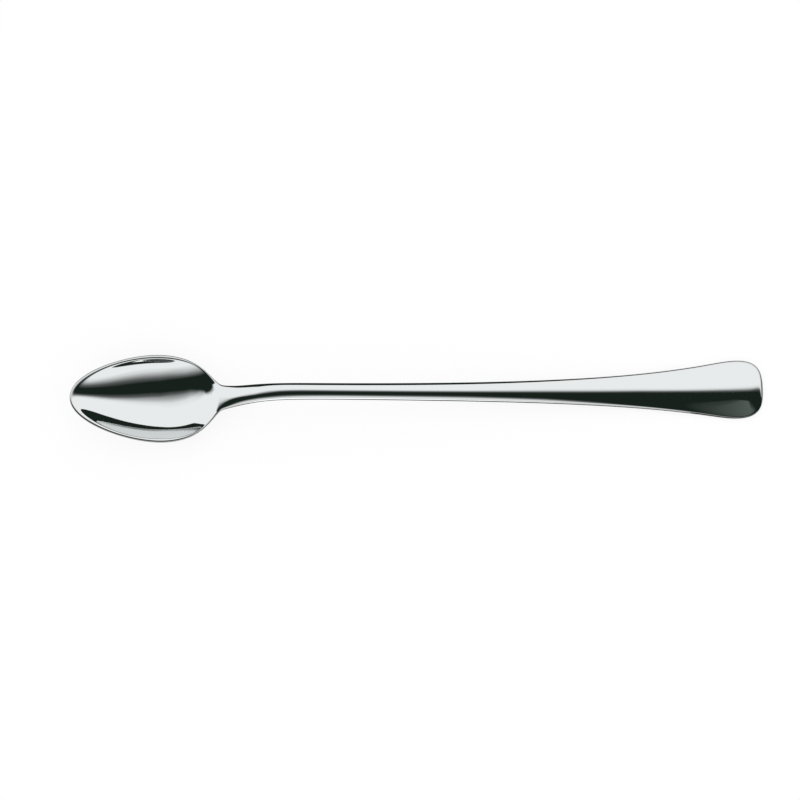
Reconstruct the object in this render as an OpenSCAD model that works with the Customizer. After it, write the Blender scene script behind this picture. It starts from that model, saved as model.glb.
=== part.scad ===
// Iced tea spoon, pressed and coined from one stainless steel blank.
// The spoon lies on the table with its hollow up. The bowl's tip points to -X, the handle's end to +X,
// and Z is 0 where the bowl and the handle touch the table. Stations are measured from the tip.

/* [Overall] */
// Length from the bowl's tip to the handle's end
overall_length = 200; // [180:1:220]

/* [Bowl] */
// Length of the bowl, from its tip to where its heel runs out into the neck
bowl_length = 44.6; // [43:0.1:50]
// Width of the bowl over its rim
bowl_width = 25.7; // [22:0.1:29]
// Distance from the tip to the bowl's widest place
bowl_widest_at = 25.4; // [23:0.1:27]
// Depth of the hollow below the rim
hollow_depth = 5.9; // [4.6:0.1:8]
// Distance from the tip to the deep end of the hollow, beside the neck
hollow_end_at = 42.5; // [41:0.1:44]
// Width of the flat land on the rim
rim_land = 1; // [0.8:0.1:1.6]
// Height of the rim's outer edge
rim_thickness = 1; // [0.8:0.05:1.5]
// Thickness of the metal under the middle of the hollow
floor_thickness = 1.3; // [0.9:0.1:2]
// Angle by which the rim falls from the tip to the heel
rim_tilt = 11; // [0:0.5:13]

/* [Neck] */
// Height of the shoulder behind the neck above the table, at half its thickness
neck_height = 12.7; // [9:0.1:18]
// Length over which the neck climbs
neck_climb = 20; // [12:0.5:24]
// Distance from the bowl's heel to the middle of the climb
neck_offset = 4.7; // [1:0.1:6]
// How much the neck's root adds to each side of the stem
neck_flare = 4; // [2:0.1:5]
// Distance from the bowl's heel back to the neck's root
neck_root = 10; // [6:0.1:12]
// Distance over which the neck's root narrows into the stem
neck_flare_run = 6.9; // [5:0.1:8]

/* [Stem] */
// Width of the stem before its flares are added
stem_width = 4.1; // [3.6:0.05:5]
// Height of the stem's upright sides
stem_side = 1.2; // [1:0.05:1.8]
// Rise of the stem's rounded top above its sides
stem_crown = 1.1; // [0.4:0.05:1.6]
// Fall of the stem's rounded underside below its sides, which is gone toward the handle's end
stem_belly = 0.6; // [0.2:0.05:1]
// Distance from the tip to the middle of the crown's rise, at the bowl's heel
crown_at = 44; // [42:0.5:48]
// Length over which the crown rises
crown_run = 8; // [5:0.5:16]

/* [Handle] */
// Width of the handle at its widest place, near the end
handle_width = 17.1; // [13:0.1:20]
// Distance over which the handle flares out from the stem
handle_flare_run = 34; // [26:0.1:40]
// Length of the handle's rounded end
end_length = 15; // [10:0.5:20]
// Height of the upright edge at the handle's end
end_side = 0.9; // [0.7:0.05:1.4]
// Rise of the rounded top near the handle's end
end_crown = 0.6; // [0.2:0.05:1]
// Depth of the shallow dish in the underside, at the handle's end
end_dish = 0.4; // [0.2:0.05:0.5]
// Distance from the handle's end back to the line across it that rests on the table
rest_from_end = 7; // [5:0.5:12]
// Distance over which the rounded top rolls down at the very end
end_roll = 0.9; // [0.5:0.1:2]

/* [Edges] */
// Width of the rounding along the edges of the rim and stem
rim_edge = 0.35; // [0.2:0.05:0.5]
// Width of the rounding along the edges near the handle's end
handle_edge = 0.75; // [0.3:0.05:1]
// Width over which the hollow's edge is polished round
hollow_edge = 0.2; // [0.1:0.05:0.4]

/* [Hidden] */

// How full the bowl is toward its tip and heel, beside the plainest egg
bowl_fullness_share = 0.67;
// How full the hollow is toward its tip and heel, and how much more so at the heel
hollow_fullness_share = 0.17;
hollow_heel_share = 0.79;
// Start of the hollow behind the rim's tip, in widths of the land
hollow_start_share = 0.75;
// Part of the hollow's depth that is gone where it runs out into the neck
heel_ease_share = 0.7;
// How much of a curved section comes from the fourth power, for a flat middle and steep sides
bowl_steepness_share = 0.44;
stem_steepness_share = 0.4;
// How squarely bowl and neck meet: a higher power gives a tighter corner
union_power = 4.5;
// How the line of the handle sags between the neck and the end
sag_power = 1.6;
// How gently the line turns up again past its lowest place, in parts of its length
rest_ease_share = 0.06;
// Where the shoulder's height is measured, past the climb, in climbs
shoulder_share = 1.1;
// Part of the end's length that lies outside its widest place
end_widest_share = 0.53;
// Powers of the end's rounding: how late it begins, and how flat the very end is
end_start_power = 2.5;
end_flat_power = 3;
// Part of an edge's height that its rounding takes up
edge_rounding_share = 0.8;
// Where the rings turn round at the tip and at the end, in parts of those stretches
tip_turn_share = 0.35;
end_turn_share = 0.5;
// Length of the finely divided neck behind the heel, in parts of the bowl
fine_neck_share = 0.4;

heel_length = bowl_length - bowl_widest_at;
neck_middle = bowl_length + neck_offset;
// The neck and its crown rise on logistic curves: from a tenth to nine tenths of the rise in 2 ln 9 scales
climb_scale = neck_climb / (2 * ln(9));
crown_scale = crown_run / (2 * ln(9));
shoulder_at = neck_middle + shoulder_share * neck_climb;
hollow_start = hollow_start_share * rim_land;
hollow_length = hollow_end_at - hollow_start;
hollow_widest = bowl_widest_at - hollow_start;
hollow_width = bowl_width - 2 * rim_land;
outer_depth = hollow_depth + floor_thickness - rim_thickness;
end_widest = end_widest_share * end_length;

// Helpers
function mix(low, high, part) = low + (high - low) * part;
function limit(low, value, high) = max(low, min(value, high));
// A section's height from 0 at its edge to 1 in the middle, from 1 minus the square of its offset
function dome(inside, steepness) = (1 + steepness) * inside - steepness * pow(inside, 2);
// A smooth rise from 0 to 1
function rise(station, middle, scale) = 1 / (1 + exp(-(station - middle) / scale));
// A smooth form of max(value, 0)
function soft_positive(value, width) = (value + sqrt(pow(value, 2) + pow(width, 2))) / 2;

// Outline: half widths at a station
function egg(station) =
    let (place = limit(0, station, bowl_length), from_widest = place - bowl_widest_at)
    bowl_width / 2 * sqrt(place / bowl_widest_at) * (bowl_length - place) / heel_length
    * exp((1 / heel_length - 1 / (2 * bowl_widest_at)) * from_widest
          + bowl_fullness_share * pow(from_widest / bowl_length, 2));
function end_rounding(station) =
    let (part = limit(0, (station - overall_length + end_length) / end_length, 1))
    pow(1 - pow(part, end_start_power), 1 / end_flat_power);
function toward_end(station) = exp(-(overall_length - station) / handle_flare_run);
end_flare = (handle_width / 2 / end_rounding(overall_length - end_widest) - stem_width / 2)
    / toward_end(overall_length - end_widest);
function shaft(station) =
    stem_width / 2
    + neck_flare / (1 + pow((station - bowl_length + neck_root) / neck_flare_run, 2))
    + end_flare * toward_end(station);
function half_width(station) =
    pow(pow(egg(station), union_power) + pow(shaft(station) * end_rounding(station)
        * limit(0, station / bowl_widest_at, 1), union_power), 1 / union_power);

// Side view: heights along the spoon
function climbed(station) = rise(station, neck_middle, climb_scale);
function rim_line(station) = (bowl_widest_at - station) * tan(rim_tilt);
function side_height(station) =
    mix(mix(rim_thickness, stem_side, climbed(station)), end_side, toward_end(station));
function sagged(part) =
    pow(pow(part, 2) + pow(rest_ease_share, 2), sag_power / 2) - pow(rest_ease_share, sag_power);
rest_at = overall_length - rest_from_end;
function handle_line(station) =
    mix(side_height(rest_at) / 2, neck_height,
        sagged((rest_at - station) / (rest_at - shoulder_at)) / sagged(1));
function rolled_off(station) = 1 - exp(-max(overall_length - station, 0) / end_roll);
function crown(station) =
    rise(station, crown_at, crown_scale)
    * mix(stem_crown, end_crown, toward_end(station)) * rolled_off(station);
function belly(station) = climbed(station) * mix(stem_belly, -end_dish, toward_end(station));

// Bowl: how deep the inner and the outer surface lie below the rim
function hollow_square(station) =
    let (place = station - hollow_start,
         bounded = limit(0, place, hollow_length),
         from_widest = bounded - hollow_widest)
    pow(hollow_width / 2, 2) * place / hollow_widest
    * (hollow_length - place) / (hollow_length - hollow_widest)
    * exp((1 / (hollow_length - hollow_widest) - 1 / hollow_widest) * from_widest
          + 2 * hollow_fullness_share * pow(from_widest / hollow_length, 2)
          + 2 * hollow_heel_share * pow(from_widest / hollow_length, 3));
function eased(station) =
    1 - heel_ease_share
    * pow(limit(0, (station - bowl_widest_at) / (hollow_end_at - bowl_widest_at), 1), 2);
function hollow_drop(station, across) =
    hollow_depth * eased(station)
    * dome(soft_positive((hollow_square(station) - pow(across, 2)) / pow(hollow_width / 2, 2),
                         2 * hollow_edge / hollow_width),
           bowl_steepness_share);
function outer_drop(station, across) =
    outer_depth * eased(station) * (1 - climbed(station))
    * dome(max(pow(half_width(station), 2) - pow(across, 2), 0) / pow(bowl_width / 2, 2),
           bowl_steepness_share);

// The rim's height at the widest place follows from the bowl's lowest place, which stands on the table
function below_middle(station) = side_height(station) / 2 + belly(station) + outer_drop(station, 0);
function rim_height_for(station) =
    (below_middle(station) - climbed(station) * handle_line(station)) / (1 - climbed(station))
    - rim_line(station);
bowl_samples = 100;
rim_height = max([for (i = [1 : bowl_samples]) rim_height_for(bowl_length * i / bowl_samples)]);
function middle_height(station) =
    mix(rim_height + rim_line(station), handle_line(station), climbed(station));

// The two skins of the blank
function section_part(station, across) = 1 - pow(across / max(shaft(station), abs(across)), 2);
function top_height(station, across) =
    middle_height(station) + side_height(station) / 2
    + crown(station) * dome(section_part(station, across), stem_steepness_share)
    - hollow_drop(station, across);
function underside_height(station, across) =
    middle_height(station) - side_height(station) / 2
    - belly(station) * dome(section_part(station, across), stem_steepness_share)
    - outer_drop(station, across);

// Stations along the outline, closer together where it turns
tip_steps = 20;
neck_steps = 30;
stem_steps = 38;
end_steps = 14;
fine_neck_end = bowl_length * (1 + fine_neck_share);
end_start = overall_length - end_length;
stations = concat(
    [for (i = [0 : tip_steps - 1]) bowl_widest_at * (1 - cos(90 * i / tip_steps))],
    [for (i = [0 : neck_steps - 1]) mix(bowl_widest_at, fine_neck_end, i / neck_steps)],
    [for (i = [0 : stem_steps - 1]) mix(fine_neck_end, end_start, i / stem_steps)],
    [for (i = [0 : end_steps]) end_start + end_length * sin(90 * i / end_steps)]);
last = len(stations) - 1;
around = 2 * last;

// The outline goes round once: up one side from the tip to the end, and back down the other
function station_number(k) = k <= last ? k : around - k;
function side_sign(k) = k <= last ? 1 : -1;
outline = [for (k = [0 : around - 1])
    let (station = stations[station_number(k)], ends = k == 0 || k == last)
    [station, ends ? 0 : side_sign(k) * half_width(station)]];
// Unit vectors that point from each outline point into the blank
inward = [for (k = [0 : around - 1])
    let (along = outline[(k + 1) % around] - outline[(k + around - 1) % around])
    [along[1], -along[0]] / norm(along)];

// The spine that the rings close on
first_turn = len([for (s = stations) if (s < tip_turn_share * bowl_widest_at) s]);
last_turn = last - len([for (s = stations) if (s > overall_length - end_turn_share * end_length) s]);
function spine_number(k) = limit(first_turn, station_number(k), last_turn);

// Rings of the top and the underside, from the edge inward
edge_angles = [0, 30, 60, 90];
fill_shares = [0.2, 0.4, 0.6, 0.8];
function edge_width(station) = mix(rim_edge, handle_edge, toward_end(station));
function edge_drop(station) = edge_rounding_share * side_height(station) / 2;
function inset_point(k, inset) = outline[k] + inward[k] * min(inset, shaft(outline[k][0]) / 2);
function edge_inset(k, angle) = edge_width(outline[k][0]) * (1 - cos(angle));
function fill_point(k, from, share) =
    mix(inset_point(k, from), [stations[spine_number(k)], 0], share);
function on_top(p) = [p[0], p[1], top_height(p[0], p[1])];
function on_underside(p) = [p[0], p[1], underside_height(p[0], p[1])];

function edge_ring(angle, top) = [for (k = [0 : around - 1])
    let (p = inset_point(k, edge_inset(k, angle)), fall = edge_drop(p[0]) * (1 - sin(angle)))
    top ? on_top(p) - [0, 0, fall] : on_underside(p) + [0, 0, fall]];
land_ring = [for (k = [0 : around - 1]) on_top(inset_point(k, rim_land - hollow_edge / 2))];
hollow_ring = [for (k = [0 : around - 1]) on_top(inset_point(k, rim_land + hollow_edge))];
function top_fill_ring(share) = [for (k = [0 : around - 1])
    on_top(fill_point(k, rim_land + hollow_edge, share))];
function underside_fill_ring(share) = [for (k = [0 : around - 1])
    on_underside(fill_point(k, rim_land, share))];

// Rings in order, from the top's innermost over the edge to the underside's innermost
rings = concat(
    [for (i = [len(fill_shares) - 1 : -1 : 0]) top_fill_ring(fill_shares[i])],
    [hollow_ring, land_ring],
    [for (i = [len(edge_angles) - 1 : -1 : 0]) edge_ring(edge_angles[i], true)],
    [for (angle = edge_angles) edge_ring(angle, false)],
    [for (share = fill_shares) underside_fill_ring(share)]);
ring_count = len(rings);
spine_numbers = [for (i = [first_turn : last_turn]) i];
top_spine = [for (i = spine_numbers) on_top([stations[i], 0])];
underside_spine = [for (i = spine_numbers) on_underside([stations[i], 0])];

// The points of the whole skin, lowered so that it just stands on the table
raw_points = concat([for (ring = rings) each ring], top_spine, underside_spine);
lowest = min([for (p = raw_points) p[2]]);
skin_points = [for (p = raw_points) p - [overall_length / 2, 0, lowest]];
spine_base = ring_count * around;
underside_base = spine_base + len(top_spine);

function ring_index(ring, k) = ring * around + k % around;
band_faces = [for (ring = [0 : ring_count - 2], k = [0 : around - 1])
    each [[ring_index(ring, k), ring_index(ring + 1, k + 1), ring_index(ring, k + 1)],
          [ring_index(ring, k), ring_index(ring + 1, k), ring_index(ring + 1, k + 1)]]];
// Between the innermost ring and the spine; where the rings turn, both ends share one spine point
function cap_faces(ring, base) = [for (k = [0 : around - 1])
    let (here = base + spine_number(k) - first_turn,
         next = base + spine_number((k + 1) % around) - first_turn,
         near = [here, ring_index(ring, k), ring_index(ring, k + 1)],
         far = [here, ring_index(ring, k + 1), next])
    each (here == next ? [near] : [near, far])];
function turned(faces) = [for (face = faces) [face[2], face[1], face[0]]];

module spoon() {
    color("silver")
        polyhedron(
            points = skin_points,
            faces = concat(band_faces,
                           cap_faces(0, spine_base),
                           turned(cap_faces(ring_count - 1, underside_base))),
            convexity = 6);
}

spoon();
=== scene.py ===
"""Looks of an iced tea spoon: one coined, mirror-polished piece of stainless steel on a pale table.

Sizes are in millimetres and angles in degrees until a point is placed in a mesh, and then in metres, in the frame's
own axes. A station is a distance along the spoon from the bowl's tip, and across is a distance from its long axis.
"""
import logging
import math
from dataclasses import dataclass, field
from enum import Enum
from typing import Callable, Sequence

import bmesh
import bpy
import numpy as np
from mathutils import Matrix, Vector


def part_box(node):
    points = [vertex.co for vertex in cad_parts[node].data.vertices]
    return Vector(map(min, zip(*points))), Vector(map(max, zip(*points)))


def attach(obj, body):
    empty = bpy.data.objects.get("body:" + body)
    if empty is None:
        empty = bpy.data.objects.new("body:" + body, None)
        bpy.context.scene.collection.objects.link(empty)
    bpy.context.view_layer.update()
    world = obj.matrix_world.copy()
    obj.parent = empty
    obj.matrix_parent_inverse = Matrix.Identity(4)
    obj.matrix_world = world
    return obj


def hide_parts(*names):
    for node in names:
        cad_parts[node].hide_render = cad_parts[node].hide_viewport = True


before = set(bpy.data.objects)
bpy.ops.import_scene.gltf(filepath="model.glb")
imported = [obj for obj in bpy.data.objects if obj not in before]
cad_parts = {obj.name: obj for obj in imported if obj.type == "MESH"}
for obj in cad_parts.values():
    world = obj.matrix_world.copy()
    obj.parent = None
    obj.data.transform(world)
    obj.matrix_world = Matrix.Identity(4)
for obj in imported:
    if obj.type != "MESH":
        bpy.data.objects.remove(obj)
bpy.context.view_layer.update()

LOG = logging.getLogger("spoon")
MM = 0.001
QUARTER_TURN = 90
# Exponent that takes a smooth rise from a tenth to nine tenths.
EIGHT_TENTHS = 2 * math.log(9)
Array = np.ndarray


class Skin(Enum):
    """The two faces of the blank, and the way each looks."""

    TOP = 1.0
    UNDERSIDE = -1.0


class Blend(Enum):
    """What a Mix node mixes, with the numbers of its two inputs and its output."""

    FLOAT = (2, 3, 0)
    RGBA = (6, 7, 2)


def mix(low: float | Array, high: float | Array, part: float | Array) -> float | Array:
    """Goes from low to high as part goes from 0 to 1."""
    return low + (high - low) * part


def colour(hex_code: str) -> tuple[float, float, float, float]:
    """Turns an sRGB hex value to Blender's linear colour.

    Args:
        hex_code: Six hex digits after a hash sign.

    Returns:
        Red, green, blue and an alpha of 1.
    """
    channels = [int(hex_code[i:i + 2], 16) / 255 for i in (1, 3, 5)]
    linear = [c / 12.92 if c <= 0.04045 else ((c + 0.055) / 1.055) ** 2.4 for c in channels]
    return (*linear, 1.0)


def blank_material(name: str) -> bpy.types.Material:
    """Makes a material with no nodes yet.

    Args:
        name: The material's name.

    Returns:
        The material.
    """
    made = bpy.data.materials.new(name)
    made.use_nodes = True
    made.node_tree.nodes.clear()
    return made


def add_node(tree: bpy.types.NodeTree, kind: str, settings: dict | None = None,
             values: dict | None = None, links: dict | None = None) -> bpy.types.Node:
    """Adds a node with its settings, input values and incoming links.

    Args:
        tree: The node tree that takes the node.
        kind: The node's type name.
        settings: Attributes of the node itself.
        values: Input name or number to a constant.
        links: Input name or number to the output socket that feeds it.

    Returns:
        The new node.
    """
    node = tree.nodes.new(kind)
    for name, value in (settings or {}).items():
        setattr(node, name, value)
    for name, value in (values or {}).items():
        node.inputs[name].default_value = value
    for name, socket in (links or {}).items():
        tree.links.new(socket, node.inputs[name])
    return node


def add_blend(tree: bpy.types.NodeTree, kind: Blend, share: bpy.types.NodeSocket,
              low: bpy.types.NodeSocket | float | tuple, high: float | tuple) -> bpy.types.NodeSocket:
    """Adds a Mix node that goes from low to high as share goes from 0 to 1.

    Args:
        tree: The node tree that takes the node.
        kind: What it mixes.
        share: The output socket that gives the share.
        low: A constant, or the output socket that feeds it.
        high: A constant.

    Returns:
        The node's output socket.
    """
    first, second, result = kind.value
    values, links = {second: high}, {0: share}
    (links if isinstance(low, bpy.types.NodeSocket) else values)[first] = low
    return add_node(tree, "ShaderNodeMix", {"data_type": kind.name}, values, links).outputs[result]


def deselect_all() -> None:
    """Leaves edit mode with nothing selected, so that an operator acts on what is added next."""
    if bpy.context.object and bpy.context.object.mode != "OBJECT":
        bpy.ops.object.mode_set(mode="OBJECT")
    bpy.ops.object.select_all(action="DESELECT")


@dataclass(frozen=True)
class PolishedSteel:
    """18/10 stainless steel, coined and then buffed to a mirror.

    Coining leaves no grain. Buffing with ever finer compound leaves a clear, neutral mirror with hair-fine lines
    along the spoon, and the trimmed edge, which the wheel only brushes past, stays a little duller. Its colour is
    painted darker too: painted shade that stands for the dark reflections along the outline.
    """

    name: str = "polished_18_10_stainless_steel"
    tint: str = "#dee1e1"
    # The darker edge colour is painted shade. It stands for the dark reflections along the outline.
    painted_edge_shade: str = "#7f8280"
    roughness: float = 0.03
    edge_roughness: float = 0.10
    line_spacing: float = 0.12
    line_length: float = 9.0
    line_depth: float = 0.00002
    line_detail: float = 3.0
    line_grain: float = 0.6
    haze_size: float = 14.0
    haze: float = 0.02
    haze_detail: float = 4.0
    haze_grain: float = 0.55
    haze_range: tuple[float, float] = (0.35, 0.75)

    def material(self) -> bpy.types.Material:
        """Builds the node material.

        Returns:
            The material, which reads Object coordinates and the edge attribute.
        """
        made = blank_material(self.name)
        tree = made.node_tree
        place = add_node(tree, "ShaderNodeTexCoord").outputs["Object"]
        along = add_node(tree, "ShaderNodeMapping",
                         values={"Scale": (1 / self.line_length / MM, 1 / self.line_spacing / MM,
                                           1 / self.line_spacing / MM)},
                         links={"Vector": place}).outputs["Vector"]
        lines = add_node(tree, "ShaderNodeTexNoise",
                         values={"Scale": 1.0, "Detail": self.line_detail, "Roughness": self.line_grain},
                         links={"Vector": along}).outputs["Fac"]
        cloud = add_node(tree, "ShaderNodeTexNoise",
                         values={"Scale": 1 / self.haze_size / MM, "Detail": self.haze_detail,
                                 "Roughness": self.haze_grain},
                         links={"Vector": place}).outputs["Fac"]
        edge = add_node(tree, "ShaderNodeAttribute", {"attribute_name": Spoon.EDGE_ATTRIBUTE}).outputs["Fac"]
        buffed = add_node(tree, "ShaderNodeMapRange",
                          values={"From Min": self.haze_range[0], "From Max": self.haze_range[1],
                                  "To Min": self.roughness, "To Max": self.roughness + self.haze},
                          links={"Value": cloud}).outputs["Result"]
        rough = add_blend(tree, Blend.FLOAT, edge, buffed, self.edge_roughness)
        bump = add_node(tree, "ShaderNodeBump", values={"Strength": 1.0, "Distance": self.line_depth * MM},
                        links={"Height": lines}).outputs["Normal"]
        # Blends to the darker edge colour where the edge attribute rises: painted shade for the dark outline
        # reflections.
        tint = add_blend(tree, Blend.RGBA, edge, colour(self.tint), colour(self.painted_edge_shade))
        steel = add_node(tree, "ShaderNodeBsdfPrincipled", values={"Metallic": 1.0},
                         links={"Base Color": tint, "Roughness": rough, "Normal": bump})
        add_node(tree, "ShaderNodeOutputMaterial", links={"Surface": steel.outputs["BSDF"]})
        return made


@dataclass(frozen=True)
class MattBoard:
    """White matt board, the pale table that the spoon lies on: plain, with no gloss of its own."""

    name: str = "white_matt_board"
    tint: str = "#f7f7f7"
    evened: float = 0.8

    def material(self) -> bpy.types.Material:
        """Builds the board's material.

        Returns:
            A diffuse material, evened out to white where the camera or the steel sees it, and clear from below.
        """
        made = blank_material(self.name)
        tree = made.node_tree
        board = add_node(tree, "ShaderNodeBsdfDiffuse", values={"Color": colour(self.tint)}).outputs["BSDF"]
        white = add_node(tree, "ShaderNodeEmission", values={"Color": colour("#ffffff")}).outputs["Emission"]
        path = add_node(tree, "ShaderNodeLightPath").outputs
        mirrored = add_node(tree, "ShaderNodeMath", {"operation": "MAXIMUM"},
                            links={0: path["Is Glossy Ray"], 1: path["Is Transmission Ray"]}).outputs[0]
        seen = add_node(tree, "ShaderNodeMath", {"operation": "MAXIMUM"},
                        links={0: path["Is Camera Ray"], 1: mirrored}).outputs[0]
        part = add_node(tree, "ShaderNodeMath", {"operation": "MULTIPLY"}, {1: self.evened}, {0: seen}).outputs[0]
        both = add_node(tree, "ShaderNodeMixShader", links={0: part, 1: board, 2: white}).outputs["Shader"]
        below = add_node(tree, "ShaderNodeNewGeometry").outputs["Backfacing"]
        clear = add_node(tree, "ShaderNodeBsdfTransparent").outputs["BSDF"]
        sided = add_node(tree, "ShaderNodeMixShader", links={0: below, 1: both, 2: clear}).outputs["Shader"]
        add_node(tree, "ShaderNodeOutputMaterial", links={"Surface": sided})
        return made


@dataclass(frozen=True)
class Facing:
    """Facing of a studio card as polished metal mirrors it: felt or board, or a glowing patch of painted light, of one
    tone, and soft at its edges.
    """

    name: str
    tint: str
    level: float = 1.0

    def material(self) -> bpy.types.Material:
        """Builds the facing's material, or finds it.

        Returns:
            A material that fades out where the cover attribute falls to 0.
        """
        made = bpy.data.materials.get(self.name)
        if made:
            return made
        made = blank_material(self.name)
        tree = made.node_tree
        cover = add_node(tree, "ShaderNodeAttribute", {"attribute_name": Card.COVER_ATTRIBUTE}).outputs["Fac"]
        clear = add_node(tree, "ShaderNodeBsdfTransparent").outputs["BSDF"]
        tone = add_node(tree, "ShaderNodeEmission",
                        values={"Color": colour(self.tint), "Strength": self.level}).outputs["Emission"]
        both = add_node(tree, "ShaderNodeMixShader", links={0: cover, 1: clear, 2: tone}).outputs["Shader"]
        add_node(tree, "ShaderNodeOutputMaterial", links={"Surface": both})
        return made


@dataclass
class Bowl:
    """The egg-shaped bowl: its outline, its hollow and its outer shell.

    Attributes:
        length: From the tip to the end of the heel.
        width: At the widest place.
        widest_at: Station of the widest place.
        depth: Of the hollow, below the rim.
        hollow_end: Station where the hollow runs out.
        land: Width of the rim's land, beside the hollow.
        land_fall: How far the land's slope would fall by the middle.
        rim: Height of the upright edge.
        floor: Thickness of the wall at the bottom.
        tilt: By how much the tip is lifted.
        fullness: Fullness of the outline away from the widest place.
        hollow_fullness: The same for the hollow's outline.
        heel_fullness: Extra fullness of the hollow's outline toward the heel.
        steepness: How much steeper than a parabola the walls are.
        heel_ease: Share of the depth that is gone at the hollow's end.
        hollow_start: Station where the hollow starts.
    """

    length: float = 44.6
    width: float = 25.7
    widest_at: float = 25.4
    depth: float = 5.9
    hollow_end: float = 42.5
    land: float = 1.0
    land_fall: float = 0.5
    rim: float = 1.0
    floor: float = 1.3
    tilt: float = 11.0
    fullness: float = 0.67
    hollow_fullness: float = 0.17
    heel_fullness: float = 0.79
    steepness: float = 0.44
    heel_ease: float = 0.7
    hollow_start: float = 0.75

    @property
    def heel(self) -> float:
        """Distance from the widest place to the heel's end."""
        return self.length - self.widest_at

    def egg(self, station: Array) -> Array:
        """Works out the outline of the bowl alone.

        Args:
            station: Stations.

        Returns:
            Half widths.
        """
        place = np.clip(station, 0, self.length)
        past = place - self.widest_at
        slant = (1 / self.heel - 1 / (2 * self.widest_at)) * past
        return (self.width / 2 * np.sqrt(place / self.widest_at) * (self.length - place) / self.heel
                * np.exp(slant + self.fullness * (past / self.length) ** 2))

    def hollow_square(self, station: Array) -> Array:
        """Works out the hollow's outline as a square, which goes on below zero outside the hollow.

        Args:
            station: Stations.

        Returns:
            Squares of the hollow's half widths.
        """
        length = self.hollow_end - self.hollow_start
        widest = self.widest_at - self.hollow_start
        place = station - self.hollow_start
        past = np.clip(place, 0, length) - widest
        half = self.width / 2 - self.land
        slant = (1 / (length - widest) - 1 / widest) * past
        shape = slant + 2 * self.hollow_fullness * (past / length) ** 2 + 2 * self.heel_fullness * (past / length) ** 3
        return half ** 2 * place / widest * (length - place) / (length - widest) * np.exp(shape)

    def eased(self, station: Array) -> Array:
        """Share of the depth that is left behind the widest place, where the hollow runs out into the neck."""
        past = (station - self.widest_at) / (self.hollow_end - self.widest_at)
        return 1 - self.heel_ease * np.clip(past, 0, 1) ** 2

    def rim_line(self, station: Array) -> Array:
        """Height of the rim over that at the widest place."""
        return (self.widest_at - station) * math.tan(math.radians(self.tilt))


@dataclass
class Neck:
    """The neck, which climbs from the heel to the shoulder and narrows into the stem.

    Attributes:
        height: Of the shoulder, halfway up the metal.
        climb: Run in which the neck does most of its climb.
        offset: Middle of the climb, past the bowl's end.
        flare: Extra half width at the root.
        root: How far the root lies before the bowl's end.
        flare_run: Run in which the flare falls to half.
        shoulder: Place of the shoulder past the middle of the climb, in climbs.
    """

    height: float = 12.7
    climb: float = 20.0
    offset: float = 4.7
    flare: float = 4.0
    root: float = 10.0
    flare_run: float = 6.9
    shoulder: float = 1.1


@dataclass
class Stem:
    """The slender stem with its upright sides, rounded top and flatter underside.

    Attributes:
        width: At its narrowest, before the flares at both ends are added.
        side: Height of the upright sides.
        crown: Rise of the rounded top over them.
        belly: Fall of the underside below them.
        steepness: How much steeper than a parabola the rounding is.
        crown_at: Station where half of the crown has risen.
        crown_run: Run in which it does most of its rise.
    """

    width: float = 4.1
    side: float = 1.2
    crown: float = 1.1
    belly: float = 0.6
    steepness: float = 0.4
    crown_at: float = 44.0
    crown_run: float = 8.0


@dataclass
class Handle:
    """The handle, which flares from the stem to its broad rounded end.

    Attributes:
        width: At the widest place.
        flare_run: Run in which the flare shrinks to a third toward the stem.
        end: Length of the rounded end.
        side: Height of the upright edge.
        crown: Rise of the domed top over it.
        dish: How far the underside is hollowed from side to side.
        rest_from_end: How far from the end the handle rests on the table.
        rest_ease: How gently its line turns there.
        roll: Run in which the crown rolls off at the very end.
        widest: Place of the widest line before the end, in lengths of the rounded end.
        start_power: How late the rounding sets in.
        flat_power: How blunt the end is.
        sag_power: How the handle's line rises from where it rests.
    """

    width: float = 17.1
    flare_run: float = 34.0
    end: float = 15.0
    side: float = 0.9
    crown: float = 0.6
    dish: float = 0.4
    rest_from_end: float = 7.0
    rest_ease: float = 0.06
    roll: float = 0.9
    widest: float = 0.53
    start_power: float = 2.5
    flat_power: float = 3.0
    sag_power: float = 1.6


@dataclass
class Edges:
    """How the polishing wheel rounds the edges.

    Attributes:
        rim: Width of the rounding at the bowl.
        handle: Width of the rounding at the handle's end.
        hollow: Softness of the hollow's edge.
        depth: Fall of the rounding, as a share of half the upright edge.
    """

    rim: float = 0.55
    handle: float = 0.75
    hollow: float = 0.28
    depth: float = 0.8


@dataclass
class Rings:
    """How closely the rings of the mesh lie.

    Attributes:
        steps: Numbers of stations at the tip, the neck, the stem and the end.
        fine_neck: How far past the bowl the close stations go, as a share of its length.
        edge_turn: Turn from ring to ring over the rounded edge.
        past_edge: The first flat ring's least inset, in widths of the rounded edge.
        beside_hollow: Places of the rings beside the hollow's edge.
        inner: Number of rings from there to the spine, with the one they start from.
        inner_power: How much closer the first of them lie.
        spine_start: Where the rings' common spine starts, as a share of the way to the widest place.
        spine_end: How far from the end it stops, in lengths of the rounded end.
        merge: Distance in which points become one.
    """

    steps: tuple[int, int, int, int] = (90, 150, 170, 60)
    fine_neck: float = 0.4
    edge_turn: int = 9
    past_edge: float = 1.02
    beside_hollow: tuple[float, ...] = (-0.3, -0.15, -0.05, 0.05, 0.15, 0.3)
    inner: int = 24
    inner_power: float = 1.4
    spine_start: float = 0.35
    spine_end: float = 0.5
    merge: float = 0.001


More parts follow.
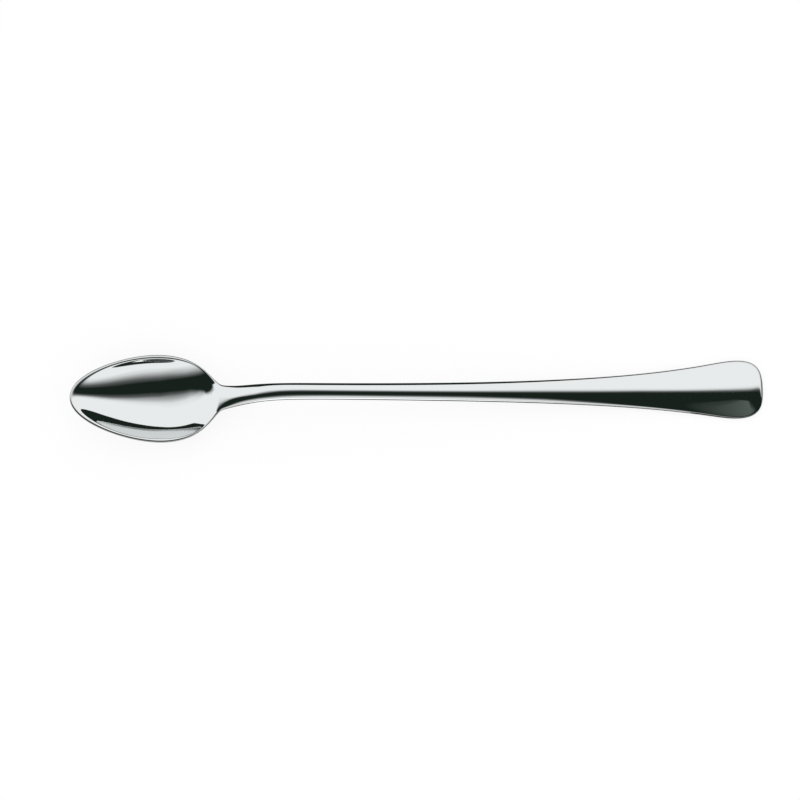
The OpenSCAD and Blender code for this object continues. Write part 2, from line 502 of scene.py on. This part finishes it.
@dataclass
class Spoon:
    """The whole spoon, one solid piece. Stations run from the bowl's tip, at 0, to the handle's end."""

    EDGE_ATTRIBUTE = "edge_share"
    NUMBER_LAYER = "outline_number"

    length: float
    bowl: Bowl = field(default_factory=Bowl)
    neck: Neck = field(default_factory=Neck)
    stem: Stem = field(default_factory=Stem)
    handle: Handle = field(default_factory=Handle)
    edges: Edges = field(default_factory=Edges)
    fineness: Rings = field(default_factory=Rings)
    union_power: float = 4.5
    piece: bpy.types.Object | None = None

    @staticmethod
    def dome(inside: Array, steepness: float) -> Array:
        """Height of a section from 0 at its edge to 1 in the middle."""
        return (1 + steepness) * inside - steepness * inside ** 2

    @staticmethod
    def rise(station: Array, middle: float, run: float) -> Array:
        """A smooth rise from 0 to 1, eight tenths of it over a run about a middle."""
        return 1 / (1 + np.exp(-(station - middle) * EIGHT_TENTHS / run))

    def end_rounding(self, station: Array) -> Array:
        """How much of the width is left in the rounded end."""
        part = np.clip((station - self.length + self.handle.end) / self.handle.end, 0, 1)
        return (1 - part ** self.handle.start_power) ** (1 / self.handle.flat_power)

    def toward_end(self, station: Array) -> Array:
        """Goes from almost 0 at the neck to 1 at the end."""
        return np.exp(-(self.length - station) / self.handle.flare_run)

    def climbed(self, station: Array) -> Array:
        """How much of its climb the neck has done."""
        return self.rise(station, self.bowl.length + self.neck.offset, self.neck.climb)

    def shaft(self, station: Array) -> Array:
        """Works out the outline of neck, stem and handle, without the end's rounding.

        Args:
            station: Stations.

        Returns:
            Half widths.
        """
        widest = self.length - self.handle.widest * self.handle.end
        flare = (self.handle.width / 2 / self.end_rounding(widest) - self.stem.width / 2) / self.toward_end(widest)
        past_root = (station - self.bowl.length + self.neck.root) / self.neck.flare_run
        return self.stem.width / 2 + self.neck.flare / (1 + past_root ** 2) + flare * self.toward_end(station)

    def half_width(self, station: Array) -> Array:
        """Works out the whole outline, where bowl and shaft run into each other.

        Args:
            station: Stations.

        Returns:
            Half widths.
        """
        rear = self.shaft(station) * self.end_rounding(station) * np.clip(station / self.bowl.widest_at, 0, 1)
        power = self.union_power
        return (self.bowl.egg(station) ** power + rear ** power) ** (1 / power)

    def sagged(self, part: Array) -> Array:
        """Rise of the handle's line over its lowest place, which it turns through gently."""
        power, ease = self.handle.sag_power, self.handle.rest_ease
        return (part ** 2 + ease ** 2) ** (power / 2) - ease ** power

    def side_height(self, station: Array) -> Array:
        """Height of the upright edge."""
        front = mix(self.bowl.rim, self.stem.side, self.climbed(station))
        return mix(front, self.handle.side, self.toward_end(station))

    def handle_line(self, station: Array) -> Array:
        """Works out the line of the handle, from the shoulder down to where it rests.

        Args:
            station: Stations.

        Returns:
            Heights of the middle of the metal.
        """
        shoulder = self.bowl.length + self.neck.offset + self.neck.shoulder * self.neck.climb
        rest = self.length - self.handle.rest_from_end
        part = (rest - station) / (rest - shoulder)
        return mix(self.side_height(rest) / 2, self.neck.height, self.sagged(part) / self.sagged(1.0))

    def crown(self, station: Array) -> Array:
        """Works out the rounded top, which rolls off at the very end.

        Args:
            station: Stations.

        Returns:
            Rises over the upright edge.
        """
        rolled_off = 1 - np.exp(-np.maximum(self.length - station, 0) / self.handle.roll)
        risen = self.rise(station, self.stem.crown_at, self.stem.crown_run)
        return risen * mix(self.stem.crown, self.handle.crown, self.toward_end(station)) * rolled_off

    def belly(self, station: Array) -> Array:
        """Fall of the rounded underside below its edges, which turns into a shallow dish at the end."""
        return self.climbed(station) * mix(self.stem.belly, -self.handle.dish, self.toward_end(station))

    def inside(self, station: Array, across: Array) -> Array:
        """How far inside the outline a place lies, from 0 at it to 1 in the middle of the bowl."""
        return np.maximum(self.half_width(station) ** 2 - across ** 2, 0) / (self.bowl.width / 2) ** 2

    def land_drop(self, station: Array, across: Array) -> Array:
        """Works out the slope of the rim's land into the bowl.

        Args:
            station: Stations.
            across: Distances from the axis.

        Returns:
            Falls below the rim.
        """
        return (self.bowl.land_fall * (1 - self.climbed(station)) * self.bowl.eased(station)
                * self.dome(self.inside(station, across), self.bowl.steepness))

    def hollow_drop(self, station: Array, across: Array) -> Array:
        """Works out the hollow, with its edge softened.

        Args:
            station: Stations.
            across: Distances from the axis.

        Returns:
            Depths below the rim's land.
        """
        width = self.bowl.width - 2 * self.bowl.land
        value = (self.bowl.hollow_square(station) - across ** 2) / (width / 2) ** 2
        blur = 2 * self.edges.hollow / width
        return ((self.bowl.depth - self.bowl.land_fall) * self.bowl.eased(station)
                * self.dome((value + np.sqrt(value ** 2 + blur ** 2)) / 2, self.bowl.steepness))

    def outer_drop(self, station: Array, across: Array) -> Array:
        """Works out the bowl's outer shell.

        Args:
            station: Stations.
            across: Distances from the axis.

        Returns:
            Depths below the lower side of the rim.
        """
        depth = self.bowl.depth + self.bowl.floor - self.bowl.rim
        return (depth * (1 - self.climbed(station)) * self.bowl.eased(station)
                * self.dome(self.inside(station, across), self.bowl.steepness))

    def rim_height(self) -> float:
        """Works out how high the rim is held by the bowl's bottom.

        Returns:
            Height of the rim at the widest place when the bowl stands on the table.
        """
        station = np.linspace(0, self.bowl.length, 101)[1:]
        hang = (self.side_height(station) / 2 + self.belly(station)
                + self.outer_drop(station, np.zeros_like(station)))
        lifted = self.climbed(station)
        return float(np.max((hang - lifted * self.handle_line(station)) / (1 - lifted)
                            - self.bowl.rim_line(station)))

    def middle(self, station: Array) -> Array:
        """Height halfway up the edge."""
        front = self.rim_height() + self.bowl.rim_line(station)
        return mix(front, self.handle_line(station), self.climbed(station))

    def height(self, skin: Skin, station: Array, across: Array) -> Array:
        """Works out the top or the underside, before its edge is rounded.

        Args:
            skin: Which face.
            station: Stations.
            across: Distances from the axis.

        Returns:
            Heights above the table.
        """
        part = 1 - (across / np.maximum(self.shaft(station), np.abs(across))) ** 2
        if skin is Skin.TOP:
            rise = self.crown(station) * self.dome(part, self.stem.steepness)
            fall = self.land_drop(station, across) + self.hollow_drop(station, across)
            return self.middle(station) + self.side_height(station) / 2 + rise - fall
        fall = self.belly(station) * self.dome(part, self.stem.steepness)
        return self.middle(station) - self.side_height(station) / 2 - fall - self.outer_drop(station, across)

    def stations(self) -> Array:
        """Chooses the stations along the outline, closer together where it turns.

        Returns:
            The stations, from the tip to the end.
        """
        tip, neck, stem, end = self.fineness.steps
        widest, end_start = self.bowl.widest_at, self.length - self.handle.end
        fine_end = self.bowl.length * (1 + self.fineness.fine_neck)
        return np.concatenate([
            widest * (1 - np.cos(np.radians(QUARTER_TURN * np.arange(tip) / tip))),
            mix(widest, fine_end, np.arange(neck) / neck),
            mix(fine_end, end_start, np.arange(stem) / stem),
            end_start + self.handle.end * np.sin(np.radians(QUARTER_TURN * np.arange(end + 1) / end))])

    def outline(self) -> tuple[Array, Array, Array]:
        """Works out the closed outline, from the tip along one side and back along the other.

        Returns:
            Its points, the direction inward at each, and the place on the spine that each one's ring ends at.
        """
        station = self.stations()
        last = len(station) - 1
        number = np.concatenate([np.arange(last + 1), np.arange(last - 1, 0, -1)])
        sign = np.where(np.arange(2 * last) <= last, 1.0, -1.0)
        width = self.half_width(station)
        width[[0, -1]] = 0
        outline = np.stack([station[number], sign * width[number]], axis=1)
        step = np.roll(outline, -1, axis=0) - np.roll(outline, 1, axis=0)
        inward = np.stack([step[:, 1], -step[:, 0]], axis=1) / np.linalg.norm(step, axis=1)[:, None]
        first_turn = int(np.sum(station < self.fineness.spine_start * self.bowl.widest_at))
        last_turn = last - int(np.sum(station > self.length - self.fineness.spine_end * self.handle.end))
        spine = np.stack([station[np.clip(number, first_turn, last_turn)], np.zeros(2 * last)], axis=1)
        return outline, inward, spine

    def rings(self) -> tuple[list[Array], list[float]]:
        """Works out the rings over one face, from the middle of the edge inward.

        Returns:
            For each ring an array of station, across and edge angle, and the ring's edge share.
        """
        outline, inward, spine = self.outline()
        most = self.shaft(outline[:, 0]) / 2
        edge_width = mix(self.edges.rim, self.edges.handle, self.toward_end(outline[:, 0]))
        rings, shares = [], []

        def add(place: Array, angle: float) -> None:
            """Adds a ring at its places, all at one edge angle."""
            rings.append(np.column_stack([place, np.full(len(place), float(angle))]))
            shares.append(1 - angle / QUARTER_TURN)

        for angle in np.arange(0, QUARTER_TURN + 1, self.fineness.edge_turn):
            inset = np.minimum(edge_width * (1 - math.cos(math.radians(angle))), most)
            add(outline + inward * inset[:, None], angle)
        for beside in self.fineness.beside_hollow:
            inset = np.minimum(np.maximum(self.bowl.land + beside, edge_width * self.fineness.past_edge), most)
            add(outline + inward * inset[:, None], QUARTER_TURN)
        start = rings[-1][:, :2]
        for share in np.linspace(0, 1, self.fineness.inner)[1:] ** self.fineness.inner_power:
            add(mix(start, spine, share), QUARTER_TURN)
        return rings, shares

    def points(self, skin: Skin, ring: Array) -> Array:
        """Places a ring on a face, with the rounding of the edge.

        Args:
            skin: Which face.
            ring: Station, across and edge angle of each point.

        Returns:
            Points in metres in the frame's axes.
        """
        station, across, angle = ring.T
        fall = self.edges.depth * self.side_height(station) / 2 * (1 - np.sin(np.radians(angle)))
        high = self.height(skin, station, across) - skin.value * fall
        return np.column_stack([station - self.length / 2, across, high]) * MM

    def place_ring(self, mesh: bmesh.types.BMesh, points: Array, edge: float) -> None:
        """Moves the selected ring to its points.

        Args:
            mesh: The mesh in edit mode.
            points: Where each point of the outline goes.
            edge: The ring's edge share.
        """
        number = mesh.verts.layers.int[self.NUMBER_LAYER]
        share = mesh.verts.layers.float[self.EDGE_ATTRIBUTE]
        for vert in mesh.verts:
            if vert.select:
                vert.co = points[vert[number]]
                vert[share] = edge

    def build(self) -> bpy.types.Object:
        """Models the spoon: a ring on the edge, extruded ring by ring over the top and the underside.

        Returns:
            The finished mesh object, at the origin.
        """
        rings, shares = self.rings()
        around = len(rings[0])
        deselect_all()
        bpy.ops.mesh.primitive_circle_add(vertices=around, radius=self.length / 2 * MM, fill_type="NOTHING")
        piece = bpy.context.active_object
        piece.name = "iced_tea_spoon"
        bpy.ops.object.mode_set(mode="EDIT")
        mesh = bmesh.from_edit_mesh(piece.data)
        mesh.verts.layers.int.new(self.NUMBER_LAYER)
        mesh.verts.layers.float.new(self.EDGE_ATTRIBUTE)
        number = mesh.verts.layers.int[self.NUMBER_LAYER]
        mesh.verts.ensure_lookup_table()
        for index, vert in enumerate(mesh.verts):
            vert[number] = index
        self.place_ring(mesh, self.points(Skin.TOP, rings[0]), shares[0])
        for skin in Skin:
            bpy.ops.mesh.select_all(action="DESELECT")
            mesh = bmesh.from_edit_mesh(piece.data)
            mesh.verts.ensure_lookup_table()
            for index in range(around):
                mesh.verts[index].select = True
            mesh.select_flush(True)
            start = 1 if skin is Skin.TOP else 0
            for ring, edge in zip(rings[start:], shares[start:]):
                bpy.ops.mesh.extrude_edges_move()
                self.place_ring(bmesh.from_edit_mesh(piece.data), self.points(skin, ring), edge)
        bpy.ops.mesh.select_all(action="SELECT")
        bpy.ops.mesh.remove_doubles(threshold=self.fineness.merge * MM)
        bpy.ops.mesh.normals_make_consistent(inside=False)
        bpy.ops.object.mode_set(mode="OBJECT")
        bpy.ops.object.shade_smooth()
        low = min(v.co.z for v in piece.data.vertices)
        piece.data.transform(Matrix.Translation((0, 0, -low)))
        self.piece = piece
        return piece

    def dress(self, finish: PolishedSteel) -> None:
        """Gives the spoon its finish and its body, and hides the CAD node that it stands for.

        Args:
            finish: The steel's finish.
        """
        self.piece.data.materials.append(finish.material())
        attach(self.piece, "root")
        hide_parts("spoon")


@dataclass
class Card:
    """A card of the studio, seen only in reflections, whose edges fade out.

    Attributes:
        name: The card's name.
        covers: Shares of cover across the card, from one side to the other.
        columns: A place along the card, and the places across it where the cover has those shares.
        place: Turns places along and across the card to a point.
    """

    COVER_ATTRIBUTE = "cover"
    GRID_DIGITS = 5
    UNSEEN = ("visible_camera", "visible_diffuse", "visible_shadow", "visible_volume_scatter")

    name: str
    covers: Sequence[float]
    columns: Sequence[Sequence[float]]
    place: Callable[[float, float], tuple[float, float, float]]

    def build(self, finish: Facing) -> bpy.types.Object:
        """Builds the card.

        Args:
            finish: The facing on it.

        Returns:
            The card, hidden from the camera, from diffuse light and from shadows.
        """
        deselect_all()
        rows = len(self.covers)
        bpy.ops.mesh.primitive_grid_add(x_subdivisions=len(self.columns) - 1, y_subdivisions=rows - 1, size=1)
        card = bpy.context.active_object
        card.name = self.name
        cover = card.data.attributes.new(self.COVER_ATTRIBUTE, "FLOAT", "POINT")
        spots = [(round(v.co.x, self.GRID_DIGITS), round(v.co.y, self.GRID_DIGITS)) for v in card.data.vertices]
        for rank, index in enumerate(sorted(range(len(spots)), key=spots.__getitem__)):
            column, row = divmod(rank, rows)
            along, *across = self.columns[column]
            card.data.vertices[index].co = Vector(self.place(along, across[row])) * MM
            cover.data[index].value = self.covers[row]
        card.data.materials.append(finish.material())
        for ray in self.UNSEEN:
            setattr(card, ray, False)
        return card


# Places along the long black flag overhead, and the places across it where its cover has OVERHEAD_COVERS. It draws the
# dark band in the bowl, the streak on the stem and the dark half of the handle.
OVERHEAD_COVERS = (0, 0.2, 0.5, 0.9, 1, 1, 0.9, 0.5, 0.12, 0)
OVERHEAD_COLUMNS = (
    (-289, -270, -200, -160, -120, -95, 20, 24, 28.5, 34, 38),
    (-259, -250, -182, -145, -105, -80, 16, 19, 22.5, 27.5, 31),
    (-226, -230, -155, -118, -85, -65, 12.5, 15.5, 18.5, 22.5, 26.5),
    (-200, -226, -151, -114, -80, -62, 8, 11, 14, 17, 20),
    (-185, -224, -148, -111, -75, -59, 2, 5, 9.5, 14.5, 20),
    (-155, -218, -144, -106, -68, -54, -4, -1, 5, 15, 22),
    (-115, -200, -138, -90, -59, -47, -9, -4, 4, 10, 20),
    (-72, -180, -122, -85, -52, -37, -6, 0, 8, 14, 22),
    (-45, -175, -105, -74, -44, -28, -2, 5, 10, 15, 21),
    (-26, -175, -97, -69, -43, -26, -2, 6, 11.5, 16, 22),
    (-9, -165, -90, -65, -43, -27, -2, 5, 10.5, 16, 22),
    (10, -130, -86, -66, -43, -27, -2, 4.5, 10, 14.5, 21),
    (30, -120, -80, -60, -40, -26, -1, 5, 10, 14, 20),
    (52, -115, -74, -56, -42, -32, 2, 7, 11, 16, 22),
    (77, -160, -105, -80, -62, -47, 7, 9.7, 11.5, 14, 17),
    (88, -165, -108, -84, -65, -49, 8.5, 10.2, 11.6, 13, 15),
    (97, -172, -114, -90, -70, -53, 9.5, 10.9, 12, 13, 14.6),
    (102, -180, -120, -95, -75, -58, 10.2, 11.2, 12.2, 13.1, 14.4),
    (110, -180, -120, -95, -75, -58, 10.8, 12, 12.8, 13.5, 14.8),
    (145, -190, -130, -100, -80, -62, 13, 14.2, 15, 15.8, 17),
    (300, -190, -130, -100, -80, -62, 17, 20.5, 21.5, 22.5, 23.5))
# A grey patch that glows just under that felt: a painted highlight, which draws the grey glow at the handle's end.
GLOW_COVERS = (0, 0.35, 0.85, 1, 0)
GLOW_COLUMNS = (
    (-38, 86, 92, 98, 102, 117), (-15, 86, 92, 98, 102, 114), (-7, 88, 94, 99, 102, 112), (4, 99, 100, 101, 102, 103))
# Places along the spoon, and how far from its axis the sheets near the table start in front, behind and at the end.
FRONT_EDGE = ((-62, 6), (-50, 4), (-30, 5), (30, 5), (70, 7), (90, 10), (96, 11))
REAR_EDGE = ((-800, 16), (-100, 16), (-76, 16), (-60, 14), (-48, 8), (0, 6), (40, 8), (70, 14), (100, 16), (800, 16))
END_EDGE = ((78, 12), (84, 10.5), (90, 10), (97, 9.5), (102, 6), (104, 3), (140, 3))
# Azimuth and elevation, as seen from the bowl, of the tops of the flags that draw the crescents on its walls.
REAR_RING = ((-25, 17.0), (50, 16.5), (70, 19.5), (90, 18.5), (116, 20.0), (124, 19.0), (134, 1.0))
FRONT_RING = ((-100, 1.0), (-92, 4.5), (-45, 4.5), (-35, 1.0))


@dataclass
class Studio:
    """The table, the light, the cards and the camera of the photograph.

    Attributes:
        table_size: Side of the table.
        light: Colour of the light.
        light_level: Strength of the light.
        card_height: Height of the flag overhead.
        patch_gap: How far the glowing patch of painted highlight hangs below it.
        sheet_height: Height of the sheets near the table.
        white_height: Height of the white sheet, which glows at twice white as a painted bright reflection, and lies
            under the others.
        sheet_fade: Run in which a sheet's edge fades out.
        grey_width: Width of the grey sheet in front, a painted shadow: the spoon's shadow on the table as the steel
            mirrors it.
        white_reach: How far the white sheet reaches.
        white_fade: Run in which its far edge fades out.
        rear_reach: How far the rear sheet reaches.
        end_reach: How far past its start the end card has its two last rows.
        end_bend: How far from the axis the end card bends up.
        ring_at: Distance of the rings' flags.
        ring_fade: Half the height in which their tops fade out.
        ring_turn: Turn from column to column round a ring.
        bowl_at: The bowl's middle along the spoon.
        bowl_height: Height in the bowl that the rings are seen from.
        distance: Of the camera from its target.
        target_height: Height of the camera's target.
        tilt: Of the camera from straight above.
        roll: Turn of the picture.
        picture: Side of the picture in pixels.
        pixels_per_mm: Scale of the picture at the target.
        target_pixel: Where the target lies in the picture.
        sensor: Width of the camera's sensor.
        clip: Nearest and farthest distance that the camera sees, in metres.
    """

    table_size: float = 4000.0
    light: str = "#ffffff"
    light_level: float = 1.1
    card_height: float = 65.0
    patch_gap: float = 1.0
    sheet_height: float = 0.4
    white_height: float = 0.3
    sheet_fade: float = 1.0
    grey_width: float = 13.0
    white_reach: float = 400.0
    white_fade: float = 100.0
    rear_reach: float = 800.0
    end_reach: tuple[float, float] = (20.0, 60.0)
    end_bend: float = 32.0
    ring_at: float = 600.0
    ring_fade: float = 3.0
    ring_turn: float = 2.0
    bowl_at: float = -75.0
    bowl_height: float = 6.0
    distance: float = 1100.0
    target_height: float = 5.0
    tilt: float = 11.0
    roll: float = 1.323
    picture: float = 800.0
    pixels_per_mm: float = 3.4624
    target_pixel: tuple[float, float] = (417.88, 394.08)
    sensor: float = 36.0
    clip: tuple[float, float] = (0.01, 100.0)

    def floor(self) -> None:
        """Lays the table under the spoon."""
        deselect_all()
        bpy.ops.mesh.primitive_plane_add(size=self.table_size * MM)
        table = bpy.context.active_object
        table.name = "table"
        table.data.materials.append(MattBoard().material())

    def world(self) -> None:
        """Surrounds the table with one even white light."""
        world = bpy.data.worlds.new("white_tent")
        bpy.context.scene.world = world
        world.use_nodes = True
        tree = world.node_tree
        tree.nodes.clear()
        sky = add_node(tree, "ShaderNodeBackground",
                       values={"Color": colour(self.light), "Strength": self.light_level})
        add_node(tree, "ShaderNodeOutputWorld", links={"Surface": sky.outputs["Background"]})

    def cards(self) -> None:
        """Hangs the cards that draw the bands in the polished steel."""
        felt = Facing("black_felt", "#1d2721")
        Card("overhead_flag", OVERHEAD_COVERS, OVERHEAD_COLUMNS, lambda x, y: (x, y, self.card_height)).build(felt)
        # A grey glowing patch under the felt: painted highlight for the grey glow at the handle's end.
        Card("painted_glow_patch", GLOW_COVERS, GLOW_COLUMNS,
             lambda y, x: (x, y, self.card_height - self.patch_gap)).build(Facing("painted_glow_patch", "#5f6963"))
        self.front_sheets()
        self.ring("rear_flag", REAR_RING, felt)
        self.ring("front_flag", FRONT_RING, felt)
        self.rear_sheets(felt)

    def front_sheets(self) -> None:
        """Lays the grey sheet of painted shadow and the white sheet of painted bright reflection in front of the
        spoon, which draw the lines along its near edge.
        """
        fade, width = self.sheet_fade, self.grey_width
        grey = [(x, -near - width - fade, -near - width, -near, -near + fade) for x, near in FRONT_EDGE]
        # The grey sheet beside the spoon is painted shadow. It stands for the spoon's shadow on the table, seen in the
        # steel.
        Card("painted_shadow_sheet", (0, 1, 1, 0), grey, lambda x, y: (x, y, self.sheet_height)).build(
            Facing("painted_shadow_grey", "#5f655f"))
        # The white sheet glows at twice white and is seen only in reflections: a painted bright reflection in the
        # steel.
        white = [(x, -self.white_reach, -self.white_reach + self.white_fade, -near - width - fade, -near - width)
                 for x, near in FRONT_EDGE]
        Card("painted_bright_sheet", (0, 1, 1, 0), white, lambda x, y: (x, y, self.white_height)).build(
            Facing("painted_bright_board", "#ffffff", 2.0))

    def rear_sheets(self, felt: Facing) -> None:
        """Lays the black sheet behind the spoon and the card in front of its end, which draw the dark edge lines.

        Args:
            felt: The felt on them.
        """
        fade, (first, second) = self.sheet_fade, self.end_reach
        sheet = [(x, near, near + fade, self.rear_reach) for x, near in REAR_EDGE]
        Card("rear_sheet", (0, 1, 1), sheet, lambda x, y: (x, y, self.sheet_height)).build(felt)
        end = [(x, near, near + fade, near + first, near + second) for x, near in END_EDGE]
        Card("end_card", (0, 1, 1, 1), end,
             lambda x, y: (x, -y, self.sheet_height + max(y - self.end_bend, 0))).build(felt)

    def ring(self, name: str, tops: Sequence[tuple[float, float]], felt: Facing) -> None:
        """Stands a flag far off round the bowl.

        Args:
            name: The flag's name.
            tops: Azimuth and elevation of the flag's top as seen from the bowl.
            felt: The felt on it.
        """
        turns, rises = zip(*tops)
        columns = []
        for turn in np.arange(turns[0], turns[-1] + self.ring_turn / 2, self.ring_turn):
            rise = math.radians(float(np.interp(turn, turns, rises)))
            top = self.ring_at * math.tan(rise) + self.bowl_height
            columns.append((float(turn), 0, top - self.ring_fade, top + self.ring_fade))
        Card(name, (1, 1, 0), columns,
             lambda turn, z: (self.bowl_at + self.ring_at * math.cos(math.radians(turn)),
                              self.ring_at * math.sin(math.radians(turn)), z)).build(felt)

    def camera(self) -> None:
        """Sets the camera at the photograph's angle and framing."""
        tilt, roll = math.radians(self.tilt), math.radians(self.roll)
        back = Vector((0, -math.sin(tilt), math.cos(tilt)))
        level_up = Vector((0, math.cos(tilt), math.sin(tilt)))
        right = math.cos(roll) * Vector((1, 0, 0)) - math.sin(roll) * level_up
        up = math.sin(roll) * Vector((1, 0, 0)) + math.cos(roll) * level_up
        aside = (self.picture / 2 - self.target_pixel[0]) / self.pixels_per_mm
        above = (self.target_pixel[1] - self.picture / 2) / self.pixels_per_mm
        place = Vector((0, 0, self.target_height)) + right * aside + up * above + back * self.distance
        data = bpy.data.cameras.new("camera")
        data.sensor_width = self.sensor
        data.lens = self.sensor * self.distance * self.pixels_per_mm / self.picture
        data.clip_start, data.clip_end = self.clip
        camera = bpy.data.objects.new("camera", data)
        bpy.context.scene.collection.objects.link(camera)
        turn = Matrix((right, up, back)).transposed().to_4x4()
        camera.matrix_world = Matrix.Translation(place * MM) @ turn
        bpy.context.scene.camera = camera

    def build(self) -> None:
        """Sets up the whole studio."""
        self.floor()
        self.world()
        self.cards()
        self.camera()
        bpy.context.scene.view_settings.view_transform = "Standard"


def main() -> None:
    """Builds the spoon and its studio, and reports each piece."""
    logging.basicConfig(level=logging.INFO, format="%(name)s: %(message)s")
    low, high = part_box("spoon")
    spoon = Spoon(length=(high.x - low.x) / MM)
    piece = spoon.build()
    spoon.dress(PolishedSteel())
    LOG.info("%s: %d faces", piece.name, len(piece.data.polygons))
    Studio().build()
    LOG.info("studio ready")


if __name__ == "__main__":
    main()
